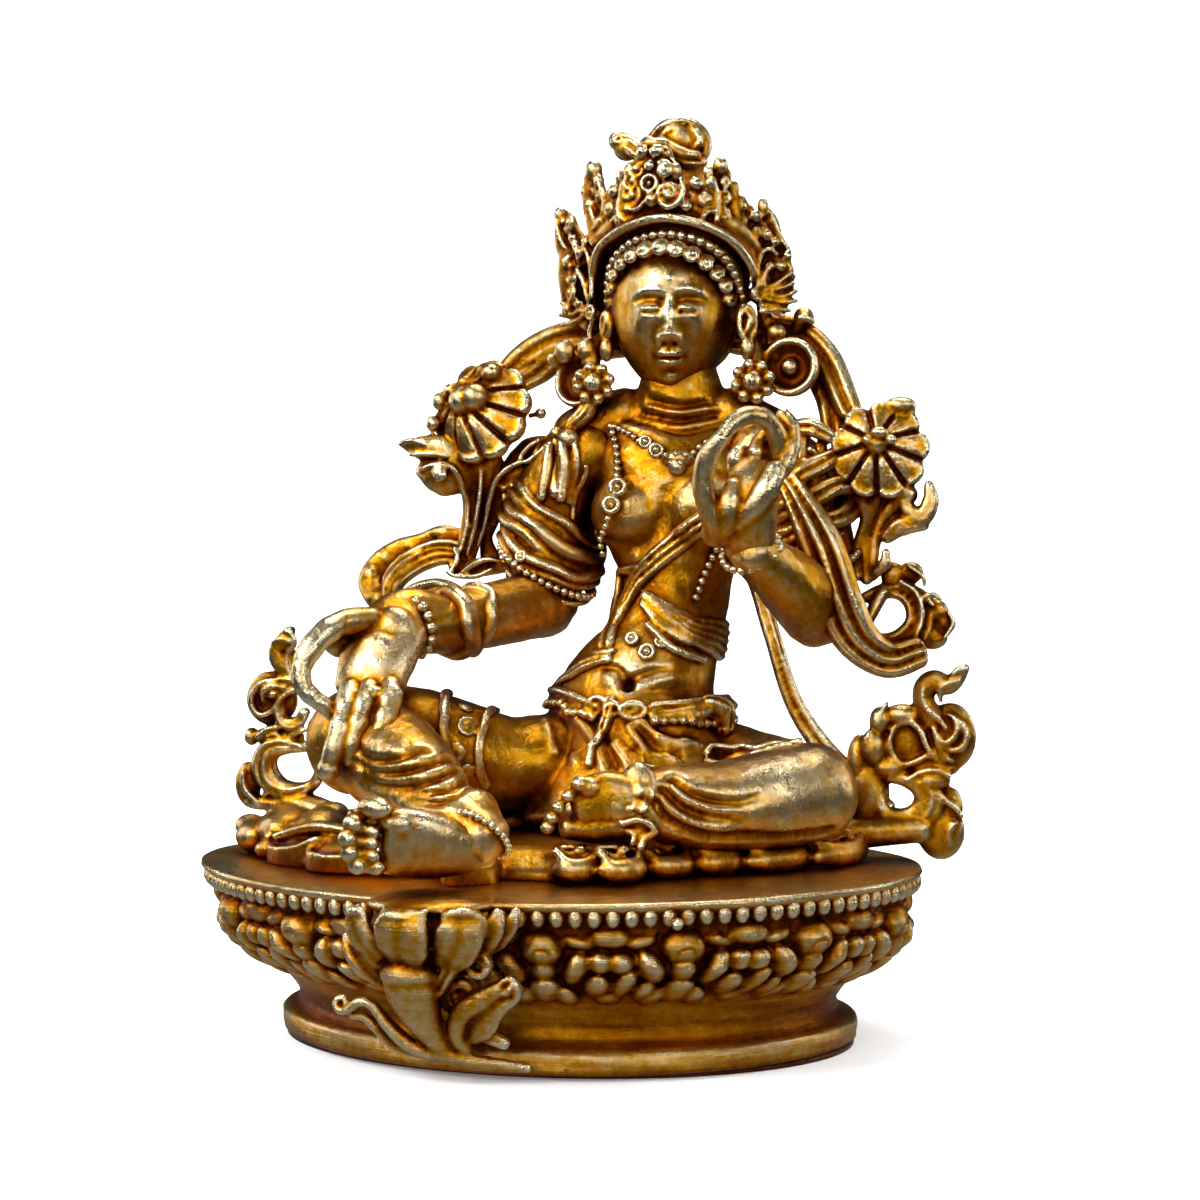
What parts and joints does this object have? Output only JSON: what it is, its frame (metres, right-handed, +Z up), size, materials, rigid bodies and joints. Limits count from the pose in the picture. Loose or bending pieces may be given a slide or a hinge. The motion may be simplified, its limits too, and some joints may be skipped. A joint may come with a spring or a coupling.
{
  "type": "seated tara figure on a lotus pedestal",
  "caption": "Small gilt brass figure seated in royal ease on an oval lotus pedestal, with lotuses at the shoulders and a small lotus under the right foot.",
  "frame": {"origin": "middle of the underside of the sealing plate, on the surface that the object stands on", "axes": "+Z up, the figure faces -Y, the viewer's right is +X"},
  "size_m": [0.0802, 0.0598, 0.0934],
  "materials": {
    "gilt_figure": "cast brass, gilt and rubbed bright on the high places, with brown-orange lacquer left in the hollows",
    "gilt_pedestal": "the same gilt casting, with horizontal brush marks on its bowl and foot",
    "plate": "plain rolled sheet, dull and slightly scratched"
  },
  "bodies": {
    "root": {"figure": "gilt_figure", "lotus_pedestal": "gilt_pedestal", "sealing_plate": "plate"}
  },
  "joints": []
}
